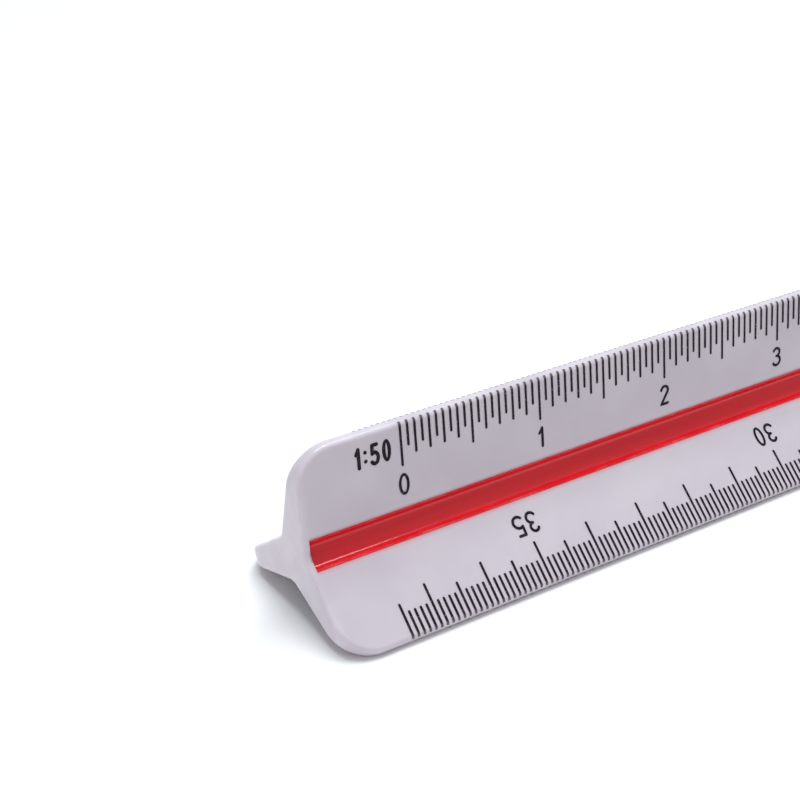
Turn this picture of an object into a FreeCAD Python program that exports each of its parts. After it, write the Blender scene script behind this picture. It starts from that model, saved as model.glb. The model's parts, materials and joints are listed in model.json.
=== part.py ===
import FreeCAD, Part
import Sketcher
import math
import os

# Triangular scale ruler: one moulded body of three tapering blades, a coloured
# lining in two of its three grooves, and six printed scales, two on each face.
#
# Frame, in millimetres: X runs along the ruler and +Z is up. The ruler rests on
# the edges of its two lower blades, and the origin is under its middle.

dimensions = [
    ("total_length", 322.4, "end face to end face"),
    ("scale_length", 300.0, "first to last graduation of every scale"),
    ("start_margin", 13.9, "end face to the zero of a scale that starts there"),
    ("tip_reach", 14.2, "centre line to the outer edge of a blade"),
    ("tip_width", 1.4, "blade thickness at its outer edge, before rounding"),
    ("blade_half_angle", 9.5, "degrees between a flank and the middle of its blade"),
    ("edge_radius", 0.55, "rounding of the blade edges and the end faces"),
    ("corner_radius", 4.8, "rounding of a blade's end corners"),
    ("valley_radius", 2.0, "blend along the valley between two blades"),
    ("groove_width", 3.7, "groove along the valley between two blades"),
    ("groove_end_wall", 0.8, "end face to the closed end of a groove"),
    ("groove_floor", 2.3, "centre line to the floor of a groove"),
    ("floor_radius", 1.15, "blend between a groove's walls and floor"),
    ("rim_radius", 0.6, "rounding where a groove's walls meet the flanks"),
    ("lining_thickness", 0.2, "coloured layer that lines a groove"),
    ("ink_thickness", 0.03, "printed layer"),
    ("line_width", 0.32, "graduation line"),
    ("line_long", 5.45, "long graduation, from the blade edge inwards"),
    ("line_medium", 4.25, "medium graduation"),
    ("line_short", 3.15, "short graduation"),
    ("line_wrap", 60.0, "degrees that a graduation turns over the rounded edge"),
    ("figure_height", 2.75, "height of the figures"),
    ("figure_pen", 0.36, "line width of the figures"),
    ("figure_drop", 6.35, "blade edge to the top of the figures"),
    ("figure_gap", 0.45, "space between two figures"),
    ("label_pen", 0.46, "line width of the ratio label"),
    ("label_narrowing", 0.7, "width of the ratio label's figures against the others"),
    ("label_spacing", 0.34, "space between two characters of the ratio label"),
    ("label_drop", 1.47, "blade edge to the top of the ratio label"),
    ("label_gap", 1.4, "ratio label to the zero line"),
]

# One row for each scale: ratio, face and reading direction, then its smallest
# division, its medium and long lines and its figures, in metres of the thing drawn.
# An upright scale reads along +X on the front face, and an inverted one reads the
# other way, along the same face's other edge.
scales = [
    (50, 0, "upright", 0.05, 0.1, 0.5, 1),
    (125, 0, "inverted", 0.1, 0.5, 1, 5),
    (75, 1, "upright", 0.1, 0.5, 1, 1),
    (100, 1, "inverted", 0.1, 0.5, 1, 1),
    (20, 2, "upright", 0.02, 0.1, 0.5, 1),
    (25, 2, "inverted", 0.02, 0.1, 0.5, 1),
]

# The two coloured linings and the face that each one is in.
linings = [("red_groove_lining", 0), ("teal_groove_lining", 1)]
blade_turn = 120

# Pen strokes of each figure in a cell one unit high: a straight run between two
# points, an arc by centre, radius and angles, an oval by centre and half sizes, or
# a dot.
strokes = {
    "0": [("oval", (0.23, 0.5), 0.23, 0.5)],
    "1": [("run", (0.02, 0.74), (0.2, 1)), ("run", (0.2, 1), (0.2, 0))],
    "2": [("arc", (0.23, 0.77), 0.23, -37, 170), ("run", (0.414, 0.632), (0, 0)),
          ("run", (0, 0), (0.46, 0))],
    "3": [("arc", (0.21, 0.77), 0.23, -90, 155), ("arc", (0.21, 0.27), 0.27, -150, 90)],
    "4": [("run", (0.3, 1), (0, 0.27)), ("run", (0, 0.27), (0.48, 0.27)),
          ("run", (0.36, 0.5), (0.36, 0))],
    "5": [("run", (0.42, 1), (0.05, 1)), ("run", (0.05, 1), (0.028, 0.546)),
          ("arc", (0.2, 0.3), 0.3, -140, 125)],
    "6": [("oval", (0.25, 0.26), 0.25, 0.26), ("arc", (0.8, 0.26), 0.8, 115, 180)],
    "7": [("run", (0, 1), (0.46, 1)), ("run", (0.46, 1), (0.14, 0))],
    "8": [("oval", (0.25, 0.765), 0.225, 0.235), ("oval", (0.25, 0.265), 0.25, 0.265)],
    "9": [("oval", (0.25, 0.74), 0.25, 0.26), ("arc", (-0.3, 0.74), 0.8, -65, 0)],
    ":": [("dot", (0.05, 0.26)), ("dot", (0.05, 0.74))],
}
cell_widths = {"0": 0.46, "1": 0.22, "2": 0.46, "3": 0.48, "4": 0.48,
               "5": 0.5, "6": 0.5, "7": 0.46, "8": 0.52, "9": 0.5, ":": 0.1}

doc = FreeCAD.newDocument("triangular_scale")
sheet = doc.addObject("Spreadsheet::Sheet", "dims")
for row, (alias, number, note) in enumerate(dimensions, start=1):
    sheet.set(f"A{row}", alias)
    sheet.set(f"B{row}", str(number))
    sheet.set(f"C{row}", note)
    sheet.setAlias(f"B{row}", alias)
doc.recompute()


def size(alias):
    """Value of a driving dimension."""
    return float(sheet.get(alias))


# Expressions that several features share. A blade is root_half wide each side of
# its middle at the centre line, two flanks would meet valley away from that line,
# a groove's wall reaches a flank at rim, and the rim's rounding ends at mouth.
half_angle = "dims.blade_half_angle * 1 deg"
flank_slope = f"(30 deg - {half_angle})"
root_half = f"(dims.tip_width / 2 + dims.tip_reach * tan({half_angle}))"
valley = f"({root_half} / (sin(60 deg) + cos(60 deg) * tan({half_angle})))"
rim = f"({valley} + dims.groove_width / 2 * tan({flank_slope}))"
mouth = f"({rim} - dims.rim_radius * tan(45 deg - {flank_slope} / 2))"
inner_floor = "(dims.groove_floor + dims.lining_thickness)"
inner_width = "(dims.groove_width - 2 * dims.lining_thickness)"
groove_length = "(dims.total_length - 2 * dims.groove_end_wall)"


def worth(expression):
    """Value of an expression on the sheet."""
    return float(sheet.evalExpression(expression))


def origin_item(body, role):
    """Plane or axis of a body's own origin."""
    return next(item for item in body.Origin.OriginFeatures if item.Role == role)


def add_body(name):
    body = doc.addObject("PartDesign::Body", name)
    body.Label = name
    return body


def add_sketch(body, name, role):
    """Empty sketch on one of the body's origin planes."""
    sketch = body.newObject("Sketcher::SketchObject", name)
    sketch.AttachmentSupport = [(origin_item(body, role), "")]
    sketch.MapMode = "FlatFace"
    return sketch


def bind(sketch, name, expression, *geometry):
    """Named dimension of a sketch, with its size from the sheet."""
    index = sketch.addConstraint(Sketcher.Constraint(*geometry, worth(expression)))
    sketch.renameConstraint(index, name)
    sketch.setExpression(f"Constraints.{name}", expression)


def closed_outline(sketch, points):
    """Straight outline through the points, with its corners joined."""
    corners = [FreeCAD.Vector(x, y, 0) for x, y in points]
    following = corners[1:] + corners[:1]
    for start, end in zip(corners, following):
        sketch.addGeometry(Part.LineSegment(start, end), False)
    for line in range(len(corners)):
        sketch.addConstraint(Sketcher.Constraint("Coincident", line, 2, (line + 1) % len(corners), 1))


def trough_section(sketch, width, floor, end):
    """Box under the centre line, between the floor and the end expressions."""
    half = worth(width) / 2
    closed_outline(sketch, [(-half, -worth(floor)), (half, -worth(floor)),
                            (half, -worth(end)), (-half, -worth(end))])
    sketch.addConstraint(Sketcher.Constraint("Symmetric", 0, 1, 0, 2, -2))
    sketch.addConstraint(Sketcher.Constraint("Vertical", 1))
    sketch.addConstraint(Sketcher.Constraint("Horizontal", 2))
    sketch.addConstraint(Sketcher.Constraint("Vertical", 3))
    bind(sketch, "across", width, "DistanceX", 0, 1, 0, 2)
    bind(sketch, "to_floor", floor, "DistanceY", 0, 1, -1, 1)
    bind(sketch, "to_end", end, "DistanceY", 2, 1, -1, 1)


def edges_where(shape, test):
    """Names of the edges whose middle point passes the test."""
    names = []
    for index, edge in enumerate(shape.Edges, start=1):
        middle = edge.valueAt((edge.FirstParameter + edge.LastParameter) / 2)
        if test(middle):
            names.append(f"Edge{index}")
    return names


def add_fillet(body, name, base, test, expression):
    """Rounds the edges of the base feature that pass the test."""
    doc.recompute()
    fillet = body.newObject("PartDesign::Fillet", name)
    fillet.Base = (base, edges_where(base.Shape, test))
    fillet.setExpression("Radius", expression)
    doc.recompute()
    return fillet


def add_pad(body, name, sketch, length):
    """Pad of the length expression, half of it on each side of the sketch."""
    pad = body.newObject("PartDesign::Pad", name)
    pad.Profile = sketch
    pad.SideType = "Symmetric"
    pad.setExpression("Length", length)
    return pad


def add_pocket(body, name, sketch, length):
    """Cut of the length expression, half of it on each side of the sketch."""
    pocket = body.newObject("PartDesign::Pocket", name)
    pocket.Profile = sketch
    pocket.SideType = "Symmetric"
    pocket.setExpression("Length", length)
    return pocket


def three_ways(body, name, feature):
    """Repeats a feature for the three blades."""
    pattern = body.newObject("PartDesign::PolarPattern", name)
    pattern.Originals = [feature]
    pattern.Axis = (origin_item(body, "X_Axis"), [""])
    pattern.Angle = 360
    pattern.Occurrences = 3
    body.Tip = pattern
    return pattern


def blade_frames(point):
    """A point as distance from the centre line and from the middle of each blade."""
    for turn in range(3):
        angle = math.radians(blade_turn * turn)
        reach = point.z * math.cos(angle) - point.y * math.sin(angle)
        aside = point.y * math.cos(angle) + point.z * math.sin(angle)
        yield reach, aside


tolerance = 1e-4


def along_groove(point, width, depth):
    """On one of the two lines that are depth from the centre line, each side of a groove."""
    return any(abs(reach + depth) < tolerance and abs(abs(aside) - width / 2) < tolerance
               for reach, aside in blade_frames(point))


def on_valley(point):
    """Where the flanks of two blades meet."""
    return any(abs(reach + worth(valley)) < tolerance and abs(aside) < tolerance
               for reach, aside in blade_frames(point))


def on_floor(point):
    """Where a groove's wall meets its floor."""
    return along_groove(point, size("groove_width"), size("groove_floor"))


def on_rim(point):
    """Where a groove's wall meets a flank."""
    return along_groove(point, size("groove_width"), worth(rim))


def on_lining_floor(point):
    """Where the inside of a lining's wall meets the inside of its floor."""
    return along_groove(point, worth(inner_width), worth(inner_floor))


def on_corner(point):
    """Across the end of a blade, at its outer edge."""
    at_end = abs(abs(point.x) - size("total_length") / 2) < tolerance
    return at_end and any(abs(reach - size("tip_reach")) < tolerance
                          for reach, _ in blade_frames(point))


def on_outline(point):
    """On the rim of a blade's edge, round its corners, or of an end face."""
    along = abs(point.x)
    half_length = size("total_length") / 2
    corner = size("corner_radius")
    for reach, aside in blade_frames(point):
        past_x = along - (half_length - corner)
        past_reach = reach - (size("tip_reach") - corner)
        on_edge = abs(reach - size("tip_reach")) < tolerance and past_x < tolerance
        round_corner = abs(math.hypot(past_x, past_reach) - corner) < tolerance
        on_bend = min(past_x, past_reach) > 0 and round_corner
        if (on_edge or on_bend) and abs(aside) > size("tip_width") / 4:
            return True
    reaches = [reach for reach, _ in blade_frames(point)]
    on_end = abs(along - half_length) < tolerance
    return on_end and max(reaches) < size("tip_reach") - corner - tolerance


# The body: three blades padded about the centre line and rounded at the end
# corners, with a groove that is closed at both ends along each valley, and eased
# all round.
ruler = add_body("ruler_body")
section = add_sketch(ruler, "blade_section", "YZ_Plane")
tip = size("tip_width") / 2
root = worth(root_half)
closed_outline(section, [(-root, 0), (root, 0), (tip, size("tip_reach")), (-tip, size("tip_reach"))])
section.addConstraint(Sketcher.Constraint("PointOnObject", 0, 1, -1))
section.addConstraint(Sketcher.Constraint("Symmetric", 0, 1, 0, 2, -2))
section.addConstraint(Sketcher.Constraint("Symmetric", 2, 1, 2, 2, -2))
bind(section, "root_width", f"2 * {root_half}", "DistanceX", 0, 1, 0, 2)
bind(section, "tip_width", "dims.tip_width", "DistanceX", 2, 2, 2, 1)
bind(section, "reach", "dims.tip_reach", "DistanceY", 0, 2, 2, 1)
blade = add_pad(ruler, "blade", section, "dims.total_length")
blades = three_ways(ruler, "blades", blade)
rounded = add_fillet(ruler, "corner_rounding", blades, on_corner, "dims.corner_radius")
valleys = add_fillet(ruler, "valley_blend", rounded, on_valley, "dims.valley_radius")

channel = add_sketch(ruler, "groove_section", "YZ_Plane")
trough_section(channel, "dims.groove_width", "dims.groove_floor", "dims.tip_reach")
groove = add_pocket(ruler, "groove", channel, groove_length)
grooves = three_ways(ruler, "grooves", groove)
floors = add_fillet(ruler, "floor_blend", grooves, on_floor, "dims.floor_radius")
rims = add_fillet(ruler, "rim_rounding", floors, on_rim, "dims.rim_radius")
ruler.Tip = add_fillet(ruler, "eased_edges", rims, on_outline, "dims.edge_radius")


# The placements. The ruler rests on the rounded lower corners of two blades, which
# dip below the horizontal.
ease = size("edge_radius")
lean = math.radians(size("blade_half_angle"))
dip = math.radians(blade_turn - 90)
corner_aside = tip + ease * math.tan(lean) - ease / math.cos(lean)
corner_drop = (size("tip_reach") - ease) * math.sin(dip) + corner_aside * math.cos(dip)
rest_height = corner_drop + ease + size("ink_thickness")
centre_line = FreeCAD.Vector(1, 0, 0)
front_normal = FreeCAD.Vector(0, -math.cos(dip), math.sin(dip))


def on_face(face, placement):
    """A placement made for the front face, turned to another face and raised."""
    turn = FreeCAD.Rotation(centre_line, blade_turn * face)
    return FreeCAD.Placement(FreeCAD.Vector(0, 0, rest_height), turn) * placement


ruler.Placement = on_face(0, FreeCAD.Placement())


def add_lining(name, face):
    """Thin trough that lines one groove up to the rounding of its rims."""
    body = add_body(name)
    outside = add_sketch(body, f"{name}_outside", "YZ_Plane")
    trough_section(outside, "dims.groove_width", "dims.groove_floor", mouth)
    add_pad(body, f"{name}_block", outside, groove_length)
    inside = add_sketch(body, f"{name}_inside", "YZ_Plane")
    trough_section(inside, inner_width, inner_floor, f"{mouth} + dims.lining_thickness")
    hollow = add_pocket(body, f"{name}_hollow", inside, groove_length)
    blended = add_fillet(body, f"{name}_inner_blend", hollow, on_lining_floor,
                         "dims.floor_radius - dims.lining_thickness")
    body.Tip = add_fillet(body, f"{name}_outer_blend", blended, on_floor, "dims.floor_radius")
    to_front = FreeCAD.Rotation(centre_line, -blade_turn)
    body.Placement = on_face(face, FreeCAD.Placement(FreeCAD.Vector(), to_front))
    return body


pieces = [ruler] + [add_lining(name, face) for name, face in linings]

# Printing. Each scale is drawn flat on the upper flank of the front face: x reads
# along the scale from its zero, y points to the blade edge and is 0 at the edge's
# sharp corner, and z is out of the flank. It is then turned onto its own flank.
thickness = size("ink_thickness")
flank_origin = FreeCAD.Vector(size("start_margin") - size("total_length") / 2, -tip, size("tip_reach"))
flank_turn = FreeCAD.Rotation(centre_line, 90 - size("blade_half_angle"))
upward = FreeCAD.Vector(0, 0, 1)


def scale_placement(face, way_up):
    flank = FreeCAD.Placement(flank_origin, flank_turn)
    if way_up == "inverted":
        flank = FreeCAD.Placement(FreeCAD.Vector(), FreeCAD.Rotation(front_normal, 180)) * flank
    return on_face(face, flank)


def graduation(length):
    """One line, from its round inner end to part of the way over the blade edge."""
    half_width = size("line_width") / 2
    inner = half_width - length
    bend = -ease * math.tan((math.radians(90) - lean) / 2)
    wrap = math.radians(size("line_wrap"))

    def around(radius, angle):
        return FreeCAD.Vector(-half_width, bend + radius * math.sin(angle), radius * math.cos(angle) - ease)

    outer = ease + thickness
    low = FreeCAD.Vector(-half_width, inner, 0)
    high = FreeCAD.Vector(-half_width, inner, thickness)
    outline = Part.Wire([
        Part.makeLine(low, around(ease, 0)),
        Part.Arc(around(ease, 0), around(ease, wrap / 2), around(ease, wrap)).toShape(),
        Part.makeLine(around(ease, wrap), around(outer, wrap)),
        Part.Arc(around(outer, wrap), around(outer, wrap / 2), around(outer, 0)).toShape(),
        Part.makeLine(around(outer, 0), high),
        Part.makeLine(high, low),
    ])
    line = Part.Face(outline).extrude(FreeCAD.Vector(2 * half_width, 0, 0))
    round_end = Part.makeCylinder(half_width, thickness, FreeCAD.Vector(0, inner, 0))
    return line.fuse(round_end).removeSplitter()


def dot(point, pen):
    return Part.makeCylinder(pen / 2, thickness, point)


def straight_stroke(start, end, pen):
    run = end - start
    bar = Part.makeBox(run.Length, pen, thickness, FreeCAD.Vector(0, -pen / 2, 0))
    turn = FreeCAD.Rotation(centre_line, run)
    bar.Placement = FreeCAD.Placement(start, turn)
    return [bar, dot(start, pen), dot(end, pen)]


def disc(centre, half_width, half_height):
    """Oval plate of the printed layer."""
    longer, shorter = max(half_width, half_height), min(half_width, half_height)
    edge = Part.Ellipse(centre, longer, shorter).toShape()
    if half_height > half_width:
        edge.rotate(centre, upward, 90)
    return Part.Face(Part.Wire(edge)).extrude(upward * thickness)


def oval_stroke(centre, half_width, half_height, pen):
    outer = disc(centre, half_width + pen / 2, half_height + pen / 2)
    return [outer.cut(disc(centre, half_width - pen / 2, half_height - pen / 2))]


def arc_stroke(centre, half_width, half_height, first, last, pen):
    """Part of an oval stroke between two angles, with round ends."""
    def towards(angle, scale):
        turn = math.radians(angle)
        return centre + FreeCAD.Vector(half_width * math.cos(turn), half_height * math.sin(turn), 0) * scale

    [ring] = oval_stroke(centre, half_width, half_height, pen)
    fan_angle, fan_reach = 60, 3
    spans = math.ceil((last - first) / fan_angle)
    rim_points = [towards(first + (last - first) * span / spans, fan_reach) for span in range(spans + 1)]
    fan = Part.Face(Part.makePolygon([centre] + rim_points + [centre])).extrude(upward * thickness)
    ends = [dot(towards(angle, 1), pen) for angle in (first, last)]
    return ring.common(fan).Solids + ends


def figure(character, pen, narrowing):
    """One printed figure with its lower left corner at the origin."""
    reach = size("figure_height") - pen

    def at(point):
        return FreeCAD.Vector(pen / 2 + narrowing * reach * point[0], pen / 2 + reach * point[1], 0)

    solids = []
    for kind, place, *details in strokes[character]:
        if kind == "run":
            solids += straight_stroke(at(place), at(details[0]), pen)
        elif kind == "arc":
            radius, first, last = details
            solids += arc_stroke(at(place), narrowing * reach * radius, reach * radius, first, last, pen)
        elif kind == "oval":
            half_width, half_height = details
            solids += oval_stroke(at(place), narrowing * reach * half_width, reach * half_height, pen)
        else:
            solids.append(dot(at(place), pen))
    if character == ":":
        return Part.makeCompound(solids)
    return solids[0].multiFuse(solids[1:]).removeSplitter() if len(solids) > 1 else solids[0]


def lettering(text, style):
    """Figures in a row from x = 0, with the width of the whole row."""
    pen, narrowing, gap = styles[style]
    solids = []
    x = 0
    for character in text:
        drawn = figures[character, style].copy()
        drawn.translate(FreeCAD.Vector(x, 0, 0))
        solids += drawn.Solids
        x += cell_widths[character] * narrowing * (size("figure_height") - pen) + pen + gap
    return solids, x - gap


def moved(solids, x, y):
    for solid in solids:
        solid.translate(FreeCAD.Vector(x, y, 0))
    return solids


def graduations(ratio, division, medium, long):
    """All the lines of one scale."""
    spacing = 1000 * division / ratio
    shapes = {name: graduation(size(name)) for name in ("line_short", "line_medium", "line_long")}
    lines = []
    for step in range(round(size("scale_length") / spacing) + 1):
        if step % round(long / division) == 0:
            name = "line_long"
        elif step % round(medium / division) == 0:
            name = "line_medium"
        else:
            name = "line_short"
        line = shapes[name].copy()
        line.translate(FreeCAD.Vector(step * spacing, 0, 0))
        lines.append(line)
    return lines


def numerals(ratio, every):
    """The figures of one scale, each centred under its line."""
    solids = []
    base = -size("figure_drop") - size("figure_height")
    last = int(size("scale_length") * ratio / 1000)
    for number in range(0, last + 1, every):
        drawn, width = lettering(str(number), "numeral")
        solids += moved(drawn, 1000 * number / ratio - width / 2, base)
    return solids


def ratio_label(ratio):
    """The bold ratio in front of the zero line."""
    drawn, width = lettering(f"1:{ratio}", "label")
    return moved(drawn, -size("label_gap") - width, -size("label_drop") - size("figure_height"))


def add_print(name, solids, placement):
    print_layer = doc.addObject("Part::Feature", name)
    print_layer.Label = name
    print_layer.Shape = Part.makeCompound(solids)
    print_layer.Placement = placement
    return print_layer


# Line width, narrowing and spacing of the two styles of lettering.
styles = {
    "numeral": (size("figure_pen"), 1, size("figure_gap")),
    "label": (size("label_pen"), size("label_narrowing"), size("label_spacing")),
}
figures = {(character, style): figure(character, pen, narrowing)
           for style, (pen, narrowing, _) in styles.items() for character in strokes}
for ratio, face, way_up, division, medium, long, every in scales:
    placement = scale_placement(face, way_up)
    pieces += [
        add_print(f"graduations_1_{ratio}", graduations(ratio, division, medium, long), placement),
        add_print(f"numerals_1_{ratio}", numerals(ratio, every), placement),
        add_print(f"ratio_label_1_{ratio}", ratio_label(ratio), placement),
    ]
doc.recompute()

for item in doc.Objects:
    if "Invalid" in item.State or "Error" in item.State:
        raise RuntimeError(f"{item.Name} failed: {item.State}")
os.makedirs("parts", exist_ok=True)
for piece in pieces:
    shape = piece.Shape
    if shape.isNull() or not shape.isValid() or not shape.Solids:
        raise RuntimeError(f"{piece.Label} has no valid solid")
    shape.exportStep(f"parts/{piece.Label}.step")
    print(piece.Label, len(shape.Solids), "solids", round(shape.Volume, 2), "mm3")
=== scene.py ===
import json
import bmesh
import bpy
from math import cos, radians, sin, tan
from mathutils import Matrix, Vector

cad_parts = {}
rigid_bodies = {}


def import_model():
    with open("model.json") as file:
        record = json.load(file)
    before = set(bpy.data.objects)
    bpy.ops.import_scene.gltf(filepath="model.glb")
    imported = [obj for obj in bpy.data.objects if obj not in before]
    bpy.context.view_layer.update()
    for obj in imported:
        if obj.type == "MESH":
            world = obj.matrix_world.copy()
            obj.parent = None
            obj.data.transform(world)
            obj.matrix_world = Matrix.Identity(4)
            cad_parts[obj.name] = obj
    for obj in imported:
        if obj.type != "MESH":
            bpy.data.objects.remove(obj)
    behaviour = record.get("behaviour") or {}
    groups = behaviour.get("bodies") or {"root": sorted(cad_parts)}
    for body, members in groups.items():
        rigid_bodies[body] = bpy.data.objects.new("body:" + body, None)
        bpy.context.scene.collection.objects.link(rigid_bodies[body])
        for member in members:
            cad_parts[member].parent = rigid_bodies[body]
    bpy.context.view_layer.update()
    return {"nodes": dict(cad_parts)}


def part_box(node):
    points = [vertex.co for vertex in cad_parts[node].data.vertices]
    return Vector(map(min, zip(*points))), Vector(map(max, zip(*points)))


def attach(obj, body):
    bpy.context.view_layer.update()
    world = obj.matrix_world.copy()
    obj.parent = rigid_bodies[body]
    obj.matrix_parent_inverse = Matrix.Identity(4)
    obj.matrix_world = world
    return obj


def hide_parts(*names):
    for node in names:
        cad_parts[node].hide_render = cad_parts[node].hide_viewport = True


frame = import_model()
cadNodes = frame["nodes"]
print("frame loaded:", len(cadNodes), "nodes")

# the ruler's section, in metres and degrees
sectionSizes = {
    "tipReach": 0.0142,  # centre line to the edge of a blade
    "tipWidth": 0.0014,
    "lean": 9.5,  # a flank against the middle of its blade
    "grooveWidth": 0.0037,
    "grooveFloor": 0.0023,  # centre line to the floor of a groove
    "grooveEndWall": 0.0008,  # closed end of a groove
    "valleyRadius": 0.002,  # blend between two flanks, left only at the ends
    "floorRadius": 0.00115,
    "rimRadius": 0.0006,
}
low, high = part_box("ruler_body")
rulerLength = high.x - low.x
centre = Vector((0, 0, high.z - sectionSizes["tipReach"]))
bladeTurn = radians(120)
frontGroove = bladeTurn / 2  # holds the red lacquer
lowerGroove = frontGroove + bladeTurn  # holds the teal lacquer
slope = radians(30 - sectionSizes["lean"])  # a flank against the line across its face
lean = radians(sectionSizes["lean"])
rootHalf = sectionSizes["tipWidth"] / 2 + sectionSizes["tipReach"] * tan(lean)
valleyReach = rootHalf / (sin(bladeTurn / 2) + cos(bladeTurn / 2) * tan(lean))
rimReach = valleyReach + sectionSizes["grooveWidth"] / 2 * tan(slope)
rimRun = sectionSizes["rimRadius"] * tan(radians(45) - slope / 2)  # taken up by a rim's rounding
bladeStart = 2 * rimReach  # well clear of the grooves, well inside the blades' edges


# direction square to the ruler, turned from straight up towards the front
def outward(turn):
    return Vector((0, -sin(turn), cos(turn)))


# a point at one end of the ruler, out along a turn and aside from it
def endPoint(turn, out, aside, x=-rulerLength / 2):
    return centre + outward(turn) * out + outward(turn + radians(90)) * aside + Vector((x, 0, 0))


def finishPiece(bm, name, material, node):
    for face in bm.faces:
        face.smooth = True
    mesh = bpy.data.meshes.new(name)
    bm.to_mesh(mesh)
    bm.free()
    mesh.materials.append(material)
    piece = bpy.data.objects.new(name, mesh)
    bpy.context.scene.collection.objects.link(piece)
    evenShading = piece.modifiers.new("even shading", "WEIGHTED_NORMAL")
    evenShading.mode = "FACE_AREA"
    evenShading.weight = 100
    evenShading.keep_sharp = True
    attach(piece, "root")
    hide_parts(node)
    return piece


nodeGap = (230, 300)


# sets the nodes of each frame out in rows, from its left
def layOut(groups):
    for group, left, top, rows in groups:
        for row, rowNodes in enumerate(rows):
            for column, node in enumerate(rowNodes):
                node.parent = group
                node.location = (left + column * nodeGap[0], top - row * nodeGap[1])


# white plastic of the moulded body
plasticSettings = {
    "milk": (0.585, 0.530, 0.585, 1),
    "cream": (0.635, 0.580, 0.630, 1),
    "rubbed": (0.68, 0.64, 0.69, 1),
    # the red and teal tints below are painted glow: the lacquers' light seen through the plastic, painted
    # into its colour beside each groove
    "paintedRedGlow": (0.62, 0.42, 0.46, 1),
    "paintedTealGlow": (0.46, 0.54, 0.58, 1),
    "cloudScale": 90,
    "patchScale": 260,
    "smearScale": 45,
    "waveScale": 60,
    "grainScale": 2600,
    "streakStretch": (12, 900, 900),
    "rubDepth": 0.0007,  # how far the wear reaches in from a blade's edge
    "endRubDepth": 0.0016,
    # width of the painted glow beside a groove, and how far from each end it fades out
    "glowWidth": 0.0006,
    "glowEnd": 0.0012,
    "glossiest": 0.08,
    "dullest": 0.20,
    "rubDulling": 0.12,
    "grainShare": 0.02,
    "streakShare": 0.03,
    "reliefHeight": 0.00003,
    "milkUpTo": 0.36,
    "creamFrom": 0.66,
    "wearFrom": 0.35,
    "wearFull": 0.7,
    "leastHandled": 0.15,
    "mostHandled": 0.45,
    "ior": 1.49,
    "subsurface": 0.35,
    "scatterScale": 0.0012,
    "scatterColour": (1, 0.8, 0.9),
}


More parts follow.
